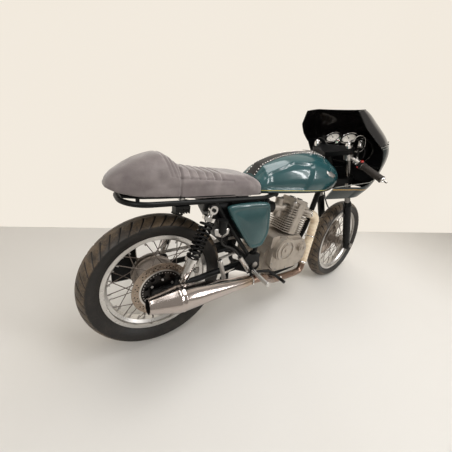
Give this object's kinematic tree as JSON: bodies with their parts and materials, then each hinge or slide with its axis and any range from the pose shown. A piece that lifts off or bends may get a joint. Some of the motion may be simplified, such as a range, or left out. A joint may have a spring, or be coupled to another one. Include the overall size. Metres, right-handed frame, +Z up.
{
  "type": "cafe racer motorcycle",
  "caption": "Single-cylinder cafe racer motorcycle with half fairing, clip-on bars, wire wheels and a humped suede seat, leaning on its side stand.",
  "frame": {"origin": "middle of the base of the whole machine as it leans on its side stand, on the floor", "axes": "+X forward, +Y to the rider's left, +Z up from the floor"},
  "size_m": [2.0538, 0.6864, 1.202],
  "materials": {
    "frame_black": "satin black enamel, lightly dusty",
    "tank_green": "deep blue-green gloss paint with a gold-yellow pinstripe",
    "screen_smoke": "very dark smoked acrylic, glossy",
    "seat_suede": "mauve-grey suede",
    "tyre_rubber": "black rubber, tread browned with dust",
    "rim_alloy": "satin alloy",
    "hub_alloy": "cast alloy with steel spokes",
    "disc_steel": "drilled steel, browned",
    "engine_alloy": "bead-blasted cast alloy",
    "polished_metal": "polished",
    "pipe_wrap": "cream heat wrap over steel tube",
    "pipe_steel": "heat-browned steel tube",
    "black_metal": "satin black",
    "grip_rubber": "black rubber",
    "hose_rubber": "black rubber hose",
    "gauge_faces": "chrome bezels with pale dials",
    "lamp_parts": "chromed bowl with clear lens",
    "tail_lens": "red lens"
  },
  "bodies": {
    "chassis": {"frame_spine": "frame_black", "frame_downtube": "frame_black", "frame_cradle": "frame_black", "swingarm": "frame_black", "swingarm_pin": "polished_metal", "rear_axle": "polished_metal", "rear_axle_spacers": "hub_alloy", "drive_chain": "disc_steel", "shocks": "polished_metal", "shock_springs": "black_metal", "crankcase": "engine_alloy", "clutch_cover": "engine_alloy", "generator_cover": "engine_alloy", "cylinder": "engine_alloy", "cylinder_head": "engine_alloy", "carburettor": "engine_alloy", "air_filter": "black_metal", "header_pipe": "pipe_wrap", "link_pipe": "pipe_steel", "silencer": "polished_metal", "fuel_tank": "tank_green", "filler_cap": "polished_metal", "seat_pad": "seat_suede", "seat_pan": "frame_black", "side_covers": "tank_green", "electrics_box": "black_metal", "fairing_shell": "tank_green", "windscreen": "screen_smoke", "headlamp": "lamp_parts", "fairing_stay": "frame_black", "foot_controls": "frame_black", "rear_master_cylinder": "polished_metal", "brake_reservoir": "black_metal", "rear_caliper": "hub_alloy", "plate_bracket": "frame_black", "tail_lamp": "tail_lens", "rectifier": "black_metal", "rear_brake_hose": "hose_rubber"},
    "fork": {"top_yoke": "frame_black", "lower_yoke": "frame_black", "fork_stanchions": "polished_metal", "fork_sliders": "black_metal", "front_axle": "polished_metal", "front_axle_spacers": "hub_alloy", "clip_ons": "black_metal", "grips": "grip_rubber", "bar_controls": "black_metal", "gauges": "gauge_faces", "front_caliper": "hub_alloy", "front_brake_hose": "hose_rubber"},
    "front_wheel": {"front_tyre": "tyre_rubber", "front_rim": "rim_alloy", "front_hub": "hub_alloy", "front_disc": "disc_steel"},
    "rear_wheel": {"rear_tyre": "tyre_rubber", "rear_rim": "rim_alloy", "rear_hub": "hub_alloy", "rear_disc": "disc_steel", "rear_sprocket": "disc_steel"},
    "stand": {"side_stand": "polished_metal"}
  },
  "joints": [
    {"name": "steering", "type": "hinge", "parent": "chassis", "child": "fork", "pos_m": [0.37841, 0.01728, 0.85884], "axis": [-0.454, 0.124, 0.8823], "range_deg": [-22.4, 11.6]},
    {"name": "front_wheel_spin", "type": "hinge", "parent": "fork", "child": "front_wheel", "pos_m": [0.71786, -0.05551, 0.30705], "axis": [-0.0839, 0.9799, -0.1809], "continuous": true},
    {"name": "rear_wheel_spin", "type": "hinge", "parent": "chassis", "child": "rear_wheel", "pos_m": [-0.70195, -0.05807, 0.32266], "axis": [0, 0.9903, -0.1392], "continuous": true},
    {"name": "side_stand_fold", "type": "hinge", "parent": "chassis", "child": "stand", "pos_m": [-0.18195, 0.05546, 0.21077], "axis": [0.2146, 0.838, 0.5017], "range_deg": [0, 113]}
  ]
}
